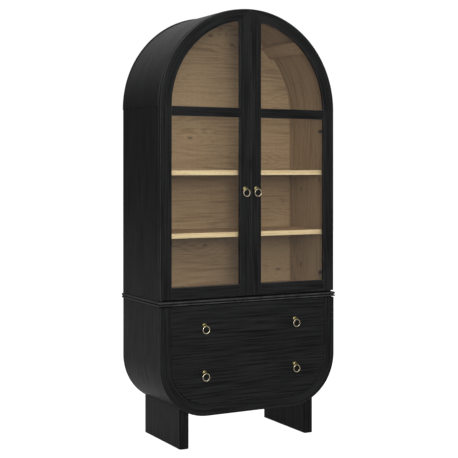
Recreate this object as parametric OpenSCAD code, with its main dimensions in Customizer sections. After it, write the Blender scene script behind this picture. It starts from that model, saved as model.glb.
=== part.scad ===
// Curio cabinet: a glazed case with an arched top over a round-cornered drawer case.
// Millimetres. X runs left to right, Y from front to back, Z up.
// The origin is on the floor, in the middle of the overall width and depth.

/* [Upper case] */
// Height from the floor to the top of the arched shell
total_h = 2000; // [1970:1:2030]
// Width over the two closed doors, and over the straight sides
case_w = 914; // [900:1:930]
// Depth from the door faces to the back edge of the sides
case_d = 425; // [415:1:440]
// Thickness of a straight side panel, and of the bent shell less its proud lip
wall_t = 11; // [10:1:14]
// How far the bent arch shell stands proud of the straight sides
shell_proud = 2; // [1:0.5:4]
// Thickness of the hoop that finishes the back edge of the shell
hoop_t = 5; // [4:0.5:7]
// How far the hoop's curve stands above the shell's at the top
hoop_rise = 5.5; // [4:0.5:7]
// Thickness of the oak-faced inner lining
lining_t = 4; // [3:1:5]
// Height of the underside of the upper case and of the doors
upper_z0 = 678; // [674:1:682]
// Thickness of the upper deck, the floor of the glazed case
deck_t = 14; // [12:1:18]
// Distance from the door faces to the front of the back panel
back_inset = 379; // [370:1:385]
// Thickness of the upper back panel
back_t = 9; // [6:1:12]
// Height of the two rails behind the back panel
back_rail_h = 80; // [60:5:100]
// Thickness of the rails behind the back panel
back_rail_t = 18; // [15:1:18]

/* [Shelves] */
// Height of the underside of the lower shelf
lower_shelf_z = 947; // [900:1:1000]
// Height of the underside of the upper shelf
upper_shelf_z = 1232; // [1150:1:1300]
// Shelf thickness
shelf_t = 22; // [18:1:28]
// Distance from the door faces to the front edge of a shelf
shelf_inset = 45; // [35:1:70]
// Diameter of the shank of a shelf support pin
pin_d = 5; // [4:0.5:6]
// Diameter of a pin's head, on which the shelf lies
pin_head_d = 8; // [7:0.5:10]
// Distance from the door faces to the front pins
front_pin = 80; // [60:5:110]
// Distance from the back panel to the back pins
back_pin = 50; // [30:5:80]

/* [Ceiling battens] */
// Width of a batten
batten_w = 70; // [50:1:80]
// Thickness of a batten at its edges
batten_t = 18; // [12:1:22]
// Angle of a batten's centre above the springing line
batten_angle = 45; // [35:1:55]

/* [Doors] */
// Thickness of the door frame
door_t = 20; // [18:1:22]
// Gap between the two closed doors
door_gap = 3; // [2:0.5:4]
// Gap between the back of a door and the case edge
case_gap = 2; // [1.5:0.5:3]
// Width of the outer stile and of the arched rail
stile_w = 55; // [50:1:60]
// Distance from the middle of the cabinet to the glass side of a meeting stile
meeting_x = 56; // [52:1:62]
// Height of the bottom rail
rail_h = 52; // [45:1:60]
// Height of the muntin bar
muntin_h = 44; // [30:1:50]
// Distance from the top of the muntin bar down from the springing line
muntin_drop = 0; // [0:0.5:5]
// Thickness of the front lip that the glass rests against
lip_t = 8; // [6:1:9]
// Width of the rabbet behind the lip
rabbet_w = 10; // [8:1:12]
// Glass thickness
glass_t = 4; // [3:1:5]

/* [Hinges] */
// Diameter of a hinge cup
cup_d = 35; // [26:1:35]
// Depth of a hinge cup in the door
cup_depth = 12; // [11:0.5:12]
// Height of the upper hinges
upper_hinge_z = 1442; // [1400:1:1480]
// Height of the lower hinges
lower_hinge_z = 759; // [740:1:800]
// Distance from the door faces to the back end of a hinge arm
arm_back = 82; // [76:1:90]
// How far a hinge arm stands out from the lining
arm_out = 18; // [16:1:20]

/* [Ring pulls] */
// Diameter of a ring at the middle of its wire
ring_d = 33; // [30:0.5:35]
// Diameter of the ring wire
wire_d = 3.5; // [3:0.25:4]
// Distance from the door face to the ring
pull_reach = 18; // [16:0.5:20]
// Distance from the middle of the cabinet to a door ring
door_pull_x = 29.7; // [28:0.1:31]
// Height of the centre of a door ring
door_pull_z = 1151; // [1100:1:1200]
// Distance from the middle of the cabinet to a drawer ring
drawer_pull_x = 239; // [200:1:270]
// Height of the centres of the upper drawer rings
upper_pull_z = 536; // [520:1:550]
// Height of the centres of the lower drawer rings
lower_pull_z = 323; // [310:1:340]

/* [Lower case] */
// Width over the lower case
lower_w = 918; // [914:1:924]
// Depth from the door faces to the back of the lower case
lower_d = 419; // [410:1:425]
// Height of the underside of the lower case
lower_z0 = 145; // [135:1:155]
// Height of the underside of the moulded waist board
lower_z1 = 649; // [640:1:655]
// Outer radius of the bottom corners
corner_r = 235; // [225:1:240]
// Thickness of the bent lower shell
shell_t = 16; // [14:1:18]
// Width of the front band around the drawer
band_w = 51; // [46:1:56]
// Thickness of the front band and of the drawer front
front_t = 20; // [18:1:22]
// Gap around the drawer front
drawer_gap = 3; // [2:0.5:4]
// Height of the shadow gap under the waist board, over the drawer and the band
shadow_gap = 4; // [3:0.5:5]
// Thickness of the waist board
waist_t = 22.5; // [22.5:0.5:26]
// How far the waist moulding stands out
waist_out = 5; // [4:0.5:6]

/* [Legs] */
// Distance from the middle of the cabinet to the outer face of a leg
leg_x = 352; // [345:1:358]
// Thickness of a leg
leg_t = 46; // [40:1:50]
// Distance from the door faces to the front edge of a leg
leg_front = 20; // [20:1:35]
// Distance from the door faces to the back edge of a leg
leg_back = 409; // [400:1:412]
// Radius of the upright front and back edges of a leg
leg_edge_r = 9; // [6:1:12]
// Diameter of a foot glide
glide_d = 24; // [20:1:28]
// How far a foot glide stands out below the leg
glide_out = 1.5; // [1:0.5:2]
// Distance from either end of a leg to the centre of a foot glide
glide_inset = 30; // [20:1:40]
// Diameter of a leg bolt
bolt_d = 8; // [6:1:8]
// Distance from the door faces to the front leg bolts
front_bolt = 100; // [80:5:140]
// Distance from the door faces to the back leg bolts
back_bolt = 330; // [290:5:350]

/* [Drawer] */
// Width over the drawer box
box_w = 700; // [690:2:702]
// Depth of the drawer box behind the drawer front
box_d = 350; // [340:5:360]
// Height of the underside of the drawer box
box_z0 = 252; // [252:1:270]
// Height of the drawer box
box_h = 308; // [280:1:330]
// Thickness of the drawer sides and back
box_t = 12; // [10:1:15]
// Thickness of the drawer bottom
bottom_t = 6; // [4:1:8]
// Height of the middle of the slides
slide_z = 400; // [380:1:430]
// Thickness of an upright that carries a slide
upright_t = 18; // [16:1:20]
// Thickness of the sheet that the slides are rolled from
channel_t = 1.2; // [1:0.1:1.4]

/* [Hidden] */
$fn = 96;
// A little radial room around every pin and cup
fit = 0.05;

half_w = case_w / 2;
shell_r = half_w + shell_proud;
spring_z = total_h - shell_r;
inner_r = half_w - wall_t - lining_t;
case_y0 = door_t + case_gap;
deck_z1 = upper_z0 + deck_t;

eye_r = 5.5;
eye_w = 6;
wire_r = wire_d / 2;
ring_r = ring_d / 2;
// The post, its rosette and its eye sit this far above the centre of the hanging ring
post_rise = ring_r + 1.6;
rosette_r = 10.5;
// The overall depth runs from the pull eyes to the back of the sides
face_y = (pull_reach + eye_r - case_d) / 2;

half_lower = lower_w / 2;
corner_x = half_lower - corner_r;
corner_z = lower_z0 + corner_r;
waist_z1 = lower_z1 + waist_t;

glide_let_in = 4;
head_d = bolt_d + 6;
bolt_l = 75;

pane_r = half_w - stile_w;
pane_z0 = upper_z0 + rail_h;
muntin_z1 = spring_z - muntin_drop;
gap_half = door_gap / 2;
hinge_zs = [lower_hinge_z, upper_hinge_z];
cup_x = half_w - cup_d / 2 - 5;

half_box = box_w / 2;
slide_room = 13;
upright_x = half_box + slide_room;
upright_y0 = front_t + 4;
slide_y0 = upright_y0 + 1;
slide_l = box_d - 5;
groove_z = box_z0 + 12;
lower_back_t = 6;
back_y0 = lower_d - 15;

rail_zs = [deck_z1, spring_z - back_rail_h - 20];
rail_y0 = back_inset + back_t;
// The wall strap's hole, in the middle of the upper rail
strap_z = rail_zs[1] + back_rail_h / 2;
strap_r = 4;
bracket_t = 2;

wood_black = [0.14, 0.14, 0.145];
oak = [0.62, 0.50, 0.36];
pale_oak = [0.83, 0.72, 0.54];
brass = [0.72, 0.60, 0.36];
dark_steel = [0.22, 0.22, 0.23];
steel = [0.68, 0.69, 0.71];

// ---- Helpers -------------------------------------------------------------

// Extrudes an X-Z outline from depth d0 to depth d1 behind the door faces
module slab_y(d0, d1) {
    translate([0, face_y + d1, 0])
        rotate([90, 0, 0])
            linear_extrude(height = d1 - d0)
                children();
}

// A box given by its least and greatest X, depth behind the door faces, and Z
module block(x, d, z) {
    translate([x[0], face_y + d[0], z[0]])
        cube([x[1] - x[0], d[1] - d[0], z[1] - z[0]]);
}

// A round bar along Y, from depth d0 to depth d1
module bar_y(x, z, r, d0, d1) {
    translate([x, face_y + d0, z])
        rotate([-90, 0, 0])
            cylinder(r = r, h = d1 - d0);
}

// A rectangle in the X-Z plane given by its limits
module rect(x0, x1, z0, z1) {
    translate([x0, z0])
        square([x1 - x0, z1 - z0]);
}

// The left half of the cabinet repeats the right one
module left() {
    mirror([1, 0, 0])
        children();
}

// An area with a half-round top of radius r, straight down to z0
module arch_area(r, z0) {
    intersection() {
        translate([0, spring_z])
            circle(r, $fn = 180);
        rect(-r, r, spring_z, spring_z + r);
    }
    rect(-r, r, z0, spring_z);
}

// A half ring above the springing line
module arch_ring(r_in, r_out) {
    intersection() {
        difference() {
            translate([0, spring_z])
                circle(r_out, $fn = 180);
            translate([0, spring_z])
                circle(r_in, $fn = 180);
        }
        rect(-r_out, r_out, spring_z, spring_z + r_out);
    }
}

// The lower case outline, drawn in by inset, up to the height z_top
module tub_area(inset, z_top) {
    r = corner_r - inset;
    for (s = [-1, 1])
        intersection() {
            translate([s * corner_x, corner_z])
                circle(r, $fn = 180);
            rect(-half_lower, half_lower, lower_z0, corner_z);
        }
    rect(-corner_x, corner_x, lower_z0 + inset, corner_z);
    rect(-half_lower + inset, half_lower - inset, corner_z, z_top);
}

// ---- Upper case ----------------------------------------------------------

// Places its children at each of the right-hand shelf pins
module at_pins() {
    for (d = [front_pin, back_inset - back_pin])
        for (z = [lower_shelf_z, upper_shelf_z])
            translate([inner_r, face_y + d, z - pin_head_d / 2])
                rotate([0, 90, 0])
                    children();
}

module right_side_panel() {
    color(wood_black)
        difference() {
            block([half_w - wall_t, half_w], [case_y0, case_d], [waist_z1, spring_z]);
            at_pins()
                cylinder(d = pin_d + 2 * fit, h = 12);
        }
}

module left_side_panel() {
    left()
        right_side_panel();
}

// The bent shell, ending at the back in a hoop whose curve is lifted a little above it
module arch_shell() {
    color(wood_black)
        union() {
            slab_y(case_y0, case_d)
                arch_ring(half_w - wall_t, shell_r);
            slab_y(case_d - hoop_t, case_d)
                difference() {
                    translate([0, hoop_rise])
                        arch_area(shell_r, spring_z - hoop_rise);
                    arch_area(half_w - wall_t, spring_z - 1);
                }
        }
}

module right_side_lining() {
    color(oak)
        difference() {
            block([inner_r, inner_r + lining_t], [case_y0, case_d], [waist_z1, spring_z]);
            translate([-1, 0, 0])
                at_pins()
                    cylinder(d = pin_d + 2 * fit, h = lining_t + 2);
        }
}

module left_side_lining() {
    left()
        right_side_lining();
}

module arch_lining() {
    color(oak)
        slab_y(case_y0, case_d)
            arch_ring(inner_r, inner_r + lining_t);
}

module upper_back_panel() {
    color(oak)
        slab_y(back_inset, back_inset + back_t)
            arch_area(inner_r, deck_z1);
}

// Two rails stiffen the case behind the back panel
module back_rails() {
    color(oak)
        difference() {
            for (z = rail_zs)
                block([-inner_r, inner_r], [rail_y0, rail_y0 + back_rail_t], [z, z + back_rail_h]);
            bar_y(0, strap_z, strap_r, rail_y0 - 1, rail_y0 + back_rail_t + 1);
        }
}

module upper_deck() {
    color(oak)
        block([-inner_r, inner_r], [case_y0, case_d - 1], [upper_z0, deck_z1]);
}

// A batten under the curved ceiling, scribed to it, from the doors to the back panel
module right_ceiling_batten() {
    sag = inner_r - sqrt(inner_r * inner_r - batten_w * batten_w / 4);
    color(oak)
        slab_y(case_y0 + 4, back_inset)
            intersection() {
                translate([0, spring_z])
                    circle(inner_r, $fn = 180);
                translate([0, spring_z])
                    rotate(batten_angle)
                        translate([inner_r - batten_t - sag, -batten_w / 2])
                            square([batten_t + 10, batten_w]);
            }
}

module left_ceiling_batten() {
    left()
        right_ceiling_batten();
}

module shelf(z) {
    color(pale_oak)
        block([-inner_r + 0.5, inner_r - 0.5], [shelf_inset, back_inset - 1], [z, z + shelf_t]);
}

module lower_shelf() {
    shelf(lower_shelf_z);
}

module upper_shelf() {
    shelf(upper_shelf_z);
}

// Each pin has a head under the shelf and a thinner shank in the side
module shelf_pins() {
    color(steel)
        for (s = [0, 1])
            mirror([s, 0, 0])
                at_pins() {
                    translate([0, 0, -9])
                        cylinder(d = pin_head_d, h = 9);
                    translate([0, 0, -1])
                        cylinder(d = pin_d, h = 11);
                }
}

// ---- Between the cases ---------------------------------------------------

// A thin board under the deck. Its front edge is the back of the shadow gap under the doors.
module spacer_board() {
    color(wood_black)
        block([-inner_r, inner_r], [case_y0, case_d - 1], [waist_z1, upper_z0]);
}

// The moulded edge: a lower bead and a fuller upper bead with a quirk between.
// Points run up the edge as [outwards, height], for an edge at the given position.
function bead(r, out, z) = [for (a = [-90:15:90]) [out - r + r * cos(a), z + r + r * sin(a)]];
function waist_edge(edge) =
    let (low = bead(4, edge + waist_out, lower_z1),
         high_r = (waist_t - 9.5) / 2,
         high = bead(high_r, edge + waist_out, lower_z1 + 9.5),
         quirk = edge + waist_out - 4)
    concat(low, [[quirk, lower_z1 + 8], [quirk, lower_z1 + 9.5]], high);

module waist_board() {
    side = waist_edge(half_lower);
    far = [for (i = [len(side) - 1:-1:0]) [-side[i][0], side[i][1]]];
    front = waist_edge(0);
    color(wood_black)
        intersection() {
            slab_y(-20, case_d)
                polygon(concat(side, far));
            translate([-half_w - 50, face_y, 0])
                rotate([90, 0, 90])
                    linear_extrude(height = case_w + 100)
                        polygon(concat([for (p = front) [-p[0], p[1]]],
                                       [[case_d, waist_z1], [case_d, lower_z1]]));
        }
}

// ---- Lower case ----------------------------------------------------------

module lower_shell() {
    color(wood_black)
        difference() {
            slab_y(front_t, lower_d)
                difference() {
                    tub_area(0, lower_z1);
                    tub_area(shell_t, lower_z1 + 1);
                }
            at_leg_bolts()
                cylinder(d = bolt_d + 2 * fit, h = 60, center = true);
            at_leg_bolts()
                cylinder(d = head_d + 4, h = 40);
        }
}

module front_band() {
    color(wood_black)
        slab_y(0, front_t)
            difference() {
                tub_area(0, lower_z1 - shadow_gap);
                tub_area(band_w, lower_z1 + 1);
            }
}

module lower_back_panel() {
    color(oak)
        slab_y(back_y0, back_y0 + lower_back_t)
            tub_area(shell_t, lower_z1);
}

// An upright carries a drawer slide and stands on the bent shell over a leg
module right_upright() {
    color(oak)
        intersection() {
            block([upright_x, upright_x + upright_t], [upright_y0, back_y0], [lower_z0, lower_z1]);
            slab_y(0, lower_d)
                tub_area(shell_t, lower_z1);
        }
}

module left_upright() {
    left()
        right_upright();
}

// ---- Legs ----------------------------------------------------------------

// Places its children at each leg bolt, at the underside of its head
module at_leg_bolts() {
    for (s = [-1, 1])
        for (d = [front_bolt, back_bolt])
            translate([s * (leg_x - leg_t / 2), face_y + d, lower_z0 + 40])
                children();
}

// Places its children at the centre of each foot glide, on the floor
module at_glides() {
    for (s = [-1, 1])
        for (d = [leg_front + glide_inset, leg_back - glide_inset])
            translate([s * (leg_x - leg_t / 2), face_y + d, 0])
                children();
}

// A slab leg, with rounded upright edges and its top scribed to the shell
module right_leg() {
    x0 = leg_x - leg_t;
    y0 = face_y + leg_front;
    y1 = face_y + leg_back;
    color(wood_black)
        difference() {
            translate([0, 0, glide_out])
                linear_extrude(height = lower_z0 + 80)
                    union() {
                        for (x = [x0 + leg_edge_r, leg_x - leg_edge_r])
                            for (y = [y0 + leg_edge_r, y1 - leg_edge_r])
                                translate([x, y])
                                    circle(leg_edge_r);
                        translate([x0 + leg_edge_r, y0])
                            square([leg_t - 2 * leg_edge_r, y1 - y0]);
                        translate([x0, y0 + leg_edge_r])
                            square([leg_t, y1 - y0 - 2 * leg_edge_r]);
                    }
            slab_y(-10, lower_d + 10)
                tub_area(0, lower_z1);
            at_leg_bolts()
                cylinder(d = bolt_d + 2 * fit, h = 2 * bolt_l, center = true);
            at_glides()
                cylinder(d = glide_d + 2 * fit, h = glide_out + glide_let_in);
        }
}

module left_leg() {
    left()
        right_leg();
}

module foot_glides() {
    color([0.3, 0.3, 0.3])
        at_glides()
            cylinder(d = glide_d, h = glide_out + glide_let_in);
}

module leg_bolts() {
    color(steel)
        at_leg_bolts() {
            difference() {
                cylinder(d = head_d, h = bolt_d);
                translate([0, 0, bolt_d / 2])
                    cylinder(d = bolt_d - 1, h = bolt_d, $fn = 6);
            }
            translate([0, 0, -bolt_l])
                cylinder(d = bolt_d, h = bolt_l + 0.5);
        }
}

// ---- Hardware on the cabinet ---------------------------------------------

// A steel plate on the upper back rail takes the strap that ties the cabinet to a wall
module wall_bracket() {
    d = rail_y0 + back_rail_t;
    color(steel)
        difference() {
            block([-30, 30], [d, d + bracket_t], [strap_z - 20, strap_z + 20]);
            for (x = [-20, 20])
                bar_y(x, strap_z, 2.5, d - 1, d + bracket_t + 1);
            bar_y(0, strap_z, strap_r, d - 1, d + bracket_t + 1);
        }
}

// One concealed hinge arm on its plate, on the right-hand side at height z.
// The nose of the arm reaches just inside the mouth of the cup.
module hinge_arm(z) {
    plate_t = 3;
    arm_h = 16;
    nose_h = 12;
    x0 = inner_r - arm_out;
    y0 = case_y0 + 2;
    block([inner_r - plate_t, inner_r], [y0 + 20, arm_back - 8], [z - 24, z + 24]);
    block([x0, inner_r - plate_t], [y0, arm_back], [z - arm_h / 2, z + arm_h / 2]);
    block([x0, x0 + 7], [door_t - 2.5, y0], [z - nose_h / 2, z + nose_h / 2]);
}

module hinge_arms() {
    color(dark_steel)
        for (s = [0, 1])
            mirror([s, 0, 0])
                for (z = hinge_zs)
                    hinge_arm(z);
}

// One channel of each drawer slide: a web and two flanges, mirrored to both sides.
// web is how far the web stands off the upright, and flange where the flanges run.
module channels(web, flange, half_h) {
    x = upright_x;
    y = [slide_y0, slide_y0 + slide_l];
    color(steel)
        for (s = [0, 1])
            mirror([s, 0, 0])
                translate([0, 0, slide_z]) {
                    block([x - web - channel_t, x - web], y, [-half_h, half_h]);
                    for (z = [-half_h, half_h - channel_t])
                        block([x - flange[1], x - flange[0]], y, [z, z + channel_t]);
                }
}

module slide_rails() {
    channels(0, [0, 10], 22.5);
}

module slide_middles() {
    channels(4.5, [2.2, 10.8], 18.7);
}

module slide_runners() {
    channels(slide_room - channel_t, [7, slide_room], 14.2);
}

// ---- Doors ---------------------------------------------------------------

// The glass opening of the right door, grown outwards by grow
module pane_area(grow) {
    intersection() {
        arch_area(pane_r + grow, pane_z0 - grow);
        rect(meeting_x - grow, half_w, 0, total_h);
    }
}

// The mitre between the meeting stile and the arched rail starts at the inner corner of
// the opening and runs out past the top of the arch.
// back is the width of the rabbet, or 0 for the front lip.
function mitre_start(back) =
    let (x = meeting_x - back, r = pane_r + back)
    [x, spring_z + sqrt(r * r - x * x)];
mitre_end = [gap_half + 3, total_h + 3];

module meeting_outline(back) {
    start = mitre_start(back);
    intersection() {
        polygon([[gap_half, upper_z0], [start[0], upper_z0], start, mitre_end,
                 [gap_half, mitre_end[1]]]);
        arch_area(half_w, upper_z0);
    }
}

module arch_rail_outline(back) {
    start = mitre_start(back);
    difference() {
        arch_ring(pane_r + back, half_w);
        polygon([[-case_w, upper_z0], [start[0], upper_z0], start, mitre_end,
                 [-case_w, mitre_end[1]]]);
    }
}

module right_meeting_stile() {
    color(wood_black)
        difference() {
            union() {
                slab_y(0, lip_t)
                    meeting_outline(0);
                slab_y(lip_t, door_t)
                    meeting_outline(rabbet_w);
            }
            bar_y(door_pull_x, door_pull_z + post_rise, 2.1, -1, door_t + 1);
        }
}

module right_arch_rail() {
    color(wood_black) {
        slab_y(0, lip_t)
            arch_rail_outline(0);
        slab_y(lip_t, door_t)
            arch_rail_outline(rabbet_w);
    }
}

module right_outer_stile() {
    color(wood_black)
        difference() {
            union() {
                block([pane_r, half_w], [0, lip_t], [upper_z0, spring_z]);
                block([pane_r + rabbet_w, half_w], [lip_t, door_t], [upper_z0, spring_z]);
            }
            for (z = hinge_zs)
                bar_y(cup_x, z, cup_d / 2, door_t - cup_depth, door_t + 1);
        }
}

module right_bottom_rail() {
    color(wood_black) {
        block([meeting_x, pane_r], [0, lip_t], [upper_z0, pane_z0]);
        block([meeting_x - rabbet_w, pane_r + rabbet_w], [lip_t, door_t],
              [upper_z0, pane_z0 - rabbet_w]);
    }
}

module right_muntin() {
    color(wood_black)
        block([meeting_x, pane_r], [0, lip_t], [muntin_z1 - muntin_h, muntin_z1]);
}

module right_glass() {
    color([0.8, 0.87, 0.87, 0.3])
        slab_y(lip_t, lip_t + glass_t)
            pane_area(rabbet_w - 1);
}

// A loop of beading holds the glass in its rabbet from behind
module right_glass_bead() {
    color(wood_black)
        slab_y(lip_t + glass_t, door_t)
            difference() {
                pane_area(rabbet_w);
                pane_area(0);
            }
}

// Drawn steel cups, let into the stile, each with a flange that takes two screws
module right_hinge_cups() {
    r = cup_d / 2 - fit;
    color(dark_steel)
        for (z = hinge_zs)
            difference() {
                union() {
                    bar_y(cup_x, z, r, door_t - cup_depth, door_t);
                    block([cup_x - r - 4, cup_x - 4], [door_t, door_t + 1.2], [z - 28, z + 28]);
                }
                bar_y(cup_x, z, r - 1, door_t - cup_depth + 1, door_t + 3);
                for (s = [-1, 1])
                    bar_y(cup_x - 12, z + s * 22.5, 2, door_t - 1, door_t + 3);
            }
}

module left_outer_stile() { left() right_outer_stile(); }
module left_arch_rail() { left() right_arch_rail(); }
module left_meeting_stile() { left() right_meeting_stile(); }
module left_bottom_rail() { left() right_bottom_rail(); }
module left_muntin() { left() right_muntin(); }
module left_glass() { left() right_glass(); }
module left_glass_bead() { left() right_glass_bead(); }
module left_hinge_cups() { left() right_hinge_cups(); }

// ---- Ring pulls ----------------------------------------------------------

// A rosette on the face, a post, and an eye that the ring hangs in.
// x and z are the centre of the hanging ring.
module pull_post(x, z) {
    difference() {
        union() {
            bar_y(x, z + post_rise, rosette_r, -3, 0);
            bar_y(x, z + post_rise, rosette_r - 3.5, -5, -2.5);
            bar_y(x, z + post_rise, 3.5, -pull_reach + 3, -4.5);
            translate([x, face_y - pull_reach, z + post_rise])
                rotate([0, 90, 0])
                    cylinder(r = eye_r, h = eye_w, center = true);
        }
        translate([x, face_y - pull_reach, z + ring_r])
            rotate([0, 90, 0])
                cylinder(r = wire_r + 0.65, h = eye_w + 2, center = true);
        bar_y(x, z + post_rise, 1.6, -4, 1);
    }
}

module pull_ring(x, z) {
    color(brass)
        translate([x, face_y - pull_reach, z])
            rotate([90, 0, 0])
                rotate_extrude()
                    translate([ring_r, 0])
                        circle(wire_r, $fn = 48);
}

module right_pull_post() {
    color(brass)
        pull_post(door_pull_x, door_pull_z);
}

module left_pull_post() {
    color(brass)
        pull_post(-door_pull_x, door_pull_z);
}

module right_pull_ring() { pull_ring(door_pull_x, door_pull_z); }
module left_pull_ring() { pull_ring(-door_pull_x, door_pull_z); }
module upper_left_drawer_ring() { pull_ring(-drawer_pull_x, upper_pull_z); }
module upper_right_drawer_ring() { pull_ring(drawer_pull_x, upper_pull_z); }
module lower_left_drawer_ring() { pull_ring(-drawer_pull_x, lower_pull_z); }
module lower_right_drawer_ring() { pull_ring(drawer_pull_x, lower_pull_z); }

module drawer_pull_posts() {
    color(brass)
        for (x = [-drawer_pull_x, drawer_pull_x])
            for (z = [upper_pull_z, lower_pull_z])
                pull_post(x, z);
}

// ---- Drawer --------------------------------------------------------------

module drawer_front() {
    color(wood_black)
        difference() {
            slab_y(0, front_t)
                tub_area(band_w + drawer_gap, lower_z1 - shadow_gap);
            for (x = [-drawer_pull_x, drawer_pull_x])
                for (z = [upper_pull_z, lower_pull_z])
                    bar_y(x, z + post_rise, 2.1, -1, front_t + 1);
        }
}

// A drawer side, with a groove along it for the bottom
module drawer_right_side() {
    color(oak)
        difference() {
            block([half_box - box_t, half_box], [front_t, front_t + box_d], [box_z0, box_z0 + box_h]);
            block([half_box - box_t - 1, half_box - box_t / 2], [front_t - 1, front_t + box_d + 1],
                  [groove_z, groove_z + bottom_t]);
        }
}

module drawer_left_side() {
    left()
        drawer_right_side();
}

module drawer_back() {
    color(oak)
        block([-half_box + box_t, half_box - box_t], [front_t + box_d - box_t, front_t + box_d],
              [groove_z + bottom_t, box_z0 + box_h]);
}

module drawer_bottom() {
    x = half_box - box_t / 2;
    color(oak)
        block([-x, x], [front_t, front_t + box_d], [groove_z, groove_z + bottom_t]);
}

// ---- Selection -----------------------------------------------------------

left_side_panel();
right_side_panel();
arch_shell();
left_side_lining();
right_side_lining();
arch_lining();
upper_back_panel();
back_rails();
upper_deck();
left_ceiling_batten();
right_ceiling_batten();
lower_shelf();
upper_shelf();
shelf_pins();
spacer_board();
waist_board();
lower_shell();
front_band();
lower_back_panel();
left_upright();
right_upright();
left_leg();
right_leg();
foot_glides();
leg_bolts();
wall_bracket();
hinge_arms();
slide_rails();
left_outer_stile();
left_arch_rail();
left_meeting_stile();
left_bottom_rail();
left_muntin();
left_glass();
left_glass_bead();
left_hinge_cups();
left_pull_post();
left_pull_ring();
right_outer_stile();
right_arch_rail();
right_meeting_stile();
right_bottom_rail();
right_muntin();
right_glass();
right_glass_bead();
right_hinge_cups();
right_pull_post();
right_pull_ring();
drawer_front();
drawer_left_side();
drawer_right_side();
drawer_back();
drawer_bottom();
drawer_pull_posts();
slide_runners();
slide_middles();
upper_left_drawer_ring();
upper_right_drawer_ring();
lower_left_drawer_ring();
lower_right_drawer_ring();
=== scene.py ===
import math

import bmesh
import bpy
import numpy as np
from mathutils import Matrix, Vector


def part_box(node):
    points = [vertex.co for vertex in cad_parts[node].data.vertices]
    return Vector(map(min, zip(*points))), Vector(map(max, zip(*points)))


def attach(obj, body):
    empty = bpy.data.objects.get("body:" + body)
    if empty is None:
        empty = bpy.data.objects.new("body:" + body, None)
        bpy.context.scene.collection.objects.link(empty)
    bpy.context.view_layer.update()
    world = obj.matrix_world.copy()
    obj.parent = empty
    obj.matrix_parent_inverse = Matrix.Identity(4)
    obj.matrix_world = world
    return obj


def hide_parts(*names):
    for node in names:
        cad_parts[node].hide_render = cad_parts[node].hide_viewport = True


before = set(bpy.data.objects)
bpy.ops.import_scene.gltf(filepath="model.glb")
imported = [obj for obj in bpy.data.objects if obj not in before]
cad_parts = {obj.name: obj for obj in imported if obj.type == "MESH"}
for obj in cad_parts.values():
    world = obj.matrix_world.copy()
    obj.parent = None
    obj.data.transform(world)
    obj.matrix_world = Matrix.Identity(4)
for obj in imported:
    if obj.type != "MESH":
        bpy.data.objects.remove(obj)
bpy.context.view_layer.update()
scene = bpy.context.scene

# ---- Camera --------------------------------------------------------------
# A level camera at standing chest height, off the front left corner, with a
# long lens. The lens is shifted down a little to take in the feet.
camera_place = Vector((-2.4876, -4.5984, 1.2573))
camera_turn = -0.495
lens_mm = 86.06
lens_shift = -0.1297

camera = bpy.data.objects.new("camera", bpy.data.cameras.new("camera"))
camera.location = camera_place
camera.rotation_euler = (math.pi / 2, 0, camera_turn)
camera.data.sensor_width = 36
camera.data.lens = lens_mm
camera.data.shift_y = lens_shift
camera.data.clip_end = 60
scene.collection.objects.link(camera)
scene.camera = camera
scene.view_settings.view_transform = "Standard"

# ---- Studio --------------------------------------------------------------
# A white sweep that is blown out where it is looked at. Dim walls, lighter at
# the front right, a pale ceiling, a lamp near the camera and two big soft ones.
floor_half = 14.0
wall_dim, wall_light, ceiling_light = 0.05, 0.27, 0.72
light_side = Vector((0.475, -0.880))
key_place, key_size, key_watts = Vector((-1.9, -4.75, 1.75)), 1.0, 92
fill_place, fill_size, fill_watts = Vector((-1.0, -4.3, 3.7)), 3.0, 100
top_place, top_size, top_watts = Vector((0.3, 0.2, 4.6)), 3.0, 40
floor_bounce = (0.24, 0.24, 0.24, 1)
floor_glow = (0.20, 0.20, 0.20, 1)
white_strength = 1.05
horizon_low, horizon_high = -0.05, 0.75
lamp_aim = Vector((0, 0, 1.0))
# Ray Depth that a look through one pane stays under. The sky counts one more than the floor.
sky_depth, floor_depth = 3.5, 2.5
# A Mix node's colour sockets come after those for numbers and vectors.
mix_first, mix_second, mix_result = 6, 7, 2


def preset(node, values):
    """Sets a node's unlinked inputs by name."""
    for name, value in values.items():
        node.inputs[name].default_value = value


def add(tree, kind, values=None, **settings):
    """A new node with its settings and its unlinked input values."""
    made = tree.nodes.new(kind)
    for name, value in settings.items():
        setattr(made, name, value)
    preset(made, values or {})
    return made


def join(tree, *pairs):
    """Links each (output, input) pair."""
    for source, target in pairs:
        tree.links.new(source, target)


def sums(tree, operation, first, second, third=None):
    """The output of a Math node. Each operand is an output or a number."""
    made = add(tree, "ShaderNodeMath", operation=operation)
    for place, operand in enumerate((first, second, third)):
        if operand is None:
            continue
        if isinstance(operand, (int, float)):
            made.inputs[place].default_value = operand
        else:
            tree.links.new(operand, made.inputs[place])
    return made.outputs[0]


def ramped(tree, value, low, high, to_low=0.0, to_high=1.0):
    """value eased from low..high to to_low..to_high, held at the ends."""
    limits = {"From Min": low, "From Max": high, "To Min": to_low, "To Max": to_high}
    made = add(tree, "ShaderNodeMapRange", limits, interpolation_type="SMOOTHSTEP")
    tree.links.new(value, made.inputs["Value"])
    return made.outputs["Result"]


def blended(tree, amount, first, second):
    """The colour output of a Mix node. first and second are colours or outputs."""
    made = add(tree, "ShaderNodeMix", data_type="RGBA")
    for place, operand in ((0, amount), (mix_first, first), (mix_second, second)):
        if isinstance(operand, (int, float, tuple)):
            made.inputs[place].default_value = operand
        else:
            tree.links.new(operand, made.inputs[place])
    return made.outputs[mix_result]


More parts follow.
